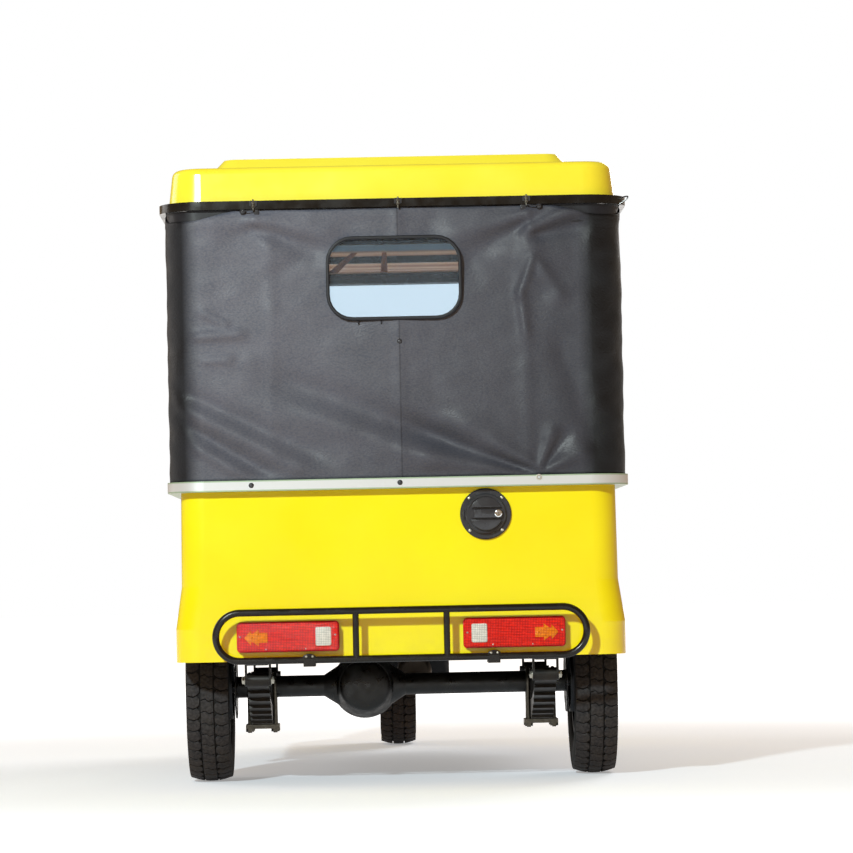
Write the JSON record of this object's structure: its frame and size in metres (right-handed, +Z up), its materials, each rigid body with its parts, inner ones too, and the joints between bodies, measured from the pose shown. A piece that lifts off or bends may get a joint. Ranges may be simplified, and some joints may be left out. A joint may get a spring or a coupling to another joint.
{
  "type": "auto rickshaw",
  "caption": "Passenger auto rickshaw with a yellow rear tub and roof, dark canvas rear canopy, leaf-sprung live rear axle, raked front fork and open sides.",
  "frame": {"origin": "on the ground, under the middle of the vehicle's length and width", "axes": "+Y forward, +X to the right as seen from behind, +Z up"},
  "size_m": [1.334, 3, 1.817],
  "materials": {
    "black_paint": "gloss black paint",
    "black_plastic": "moulded black plastic",
    "canvas": "dark grained vinyl cloth",
    "cast_axle": "black painted casting",
    "clear_sheet": "clear flexible sheet",
    "engine_metal": "cast alloy",
    "exhaust_steel": "heat dulled steel",
    "floor_sheet": "ribbed rubber mat",
    "fork_chrome": "plated steel",
    "gloss_black_plastic": "gloss black moulding",
    "lamp_amber": "amber lens",
    "lamp_clear": "clear headlamp lens",
    "lamp_red": "red ribbed lens",
    "lining_cloth": "striped lining cloth",
    "rim_steel": "silver paint",
    "roof_paint": "gloss yellow moulded shell",
    "seat_vinyl": "stitched seat vinyl",
    "spring_steel": "black painted spring steel",
    "trim_metal": "bright extruded trim",
    "tyre_rubber": "matt tread rubber",
    "yellow_paint": "gloss yellow paint"
  },
  "bodies": {
    "root": {"bench_back_panel": "yellow_paint", "bench_backrest": "seat_vinyl", "bench_base": "yellow_paint", "bench_cushion": "seat_vinyl", "cabin_frame": "black_paint", "canopy_strip": "trim_metal", "chassis_frame": "black_paint", "dashboard": "black_plastic", "driver_backrest": "seat_vinyl", "driver_cushion": "seat_vinyl", "driver_seat_box": "yellow_paint", "engine_block": "engine_metal", "exhaust": "exhaust_steel", "filler_ring": "gloss_black_plastic", "floor_pan": "floor_sheet", "front_indicators": "lamp_amber", "front_shell": "yellow_paint", "headlamps": "lamp_clear", "leaf_springs": "spring_steel", "propeller_shaft": "black_paint", "rear_axle": "cast_axle", "rear_canopy": "canvas", "rear_guard": "black_paint", "rear_tub": "yellow_paint", "rear_window": "clear_sheet", "roof_lining": "lining_cloth", "roof_rail": "black_paint", "roof_shell": "roof_paint", "spring_shackles": "black_paint", "spring_ubolts": "trim_metal", "tail_lamps": "lamp_red", "toe_board": "yellow_paint", "wheel_arches": "black_paint", "windscreen_frame": "black_paint", "windscreen_glass": "clear_sheet"},
    "steering": {"fork": "black_paint", "handlebar": "fork_chrome", "front_fender": "yellow_paint"},
    "front_wheel": {"front_tyre": "tyre_rubber", "front_rim": "rim_steel"},
    "rear_wheel_left": {"rear_left_tyre": "tyre_rubber", "rear_left_rim": "rim_steel"},
    "rear_wheel_right": {"rear_right_tyre": "tyre_rubber", "rear_right_rim": "rim_steel"},
    "fuel_lid": {"fuel_lid": "gloss_black_plastic"}
  },
  "joints": [
    {"name": "steering", "type": "hinge", "parent": "root", "child": "steering", "pos_m": [0, 1.1885, 0.2725], "axis": [0, -0.4226, 0.9063], "range_deg": [-38, 38]},
    {"name": "front_wheel", "type": "hinge", "parent": "steering", "child": "front_wheel", "pos_m": [0, 1.1885, 0.2725], "axis": [1, 0, 0], "continuous": true},
    {"name": "rear_wheel_left", "type": "hinge", "parent": "root", "child": "rear_wheel_left", "pos_m": [-0.562, -0.975, 0.2725], "axis": [1, 0, 0], "continuous": true},
    {"name": "rear_wheel_right", "type": "hinge", "parent": "root", "child": "rear_wheel_right", "pos_m": [0.562, -0.975, 0.2725], "axis": [1, 0, 0], "continuous": true},
    {"name": "fuel_lid", "type": "hinge", "parent": "root", "child": "fuel_lid", "pos_m": [0.1835, -1.4386, 0.761], "axis": [0, 0, -1], "range_deg": [0, 100]}
  ]
}
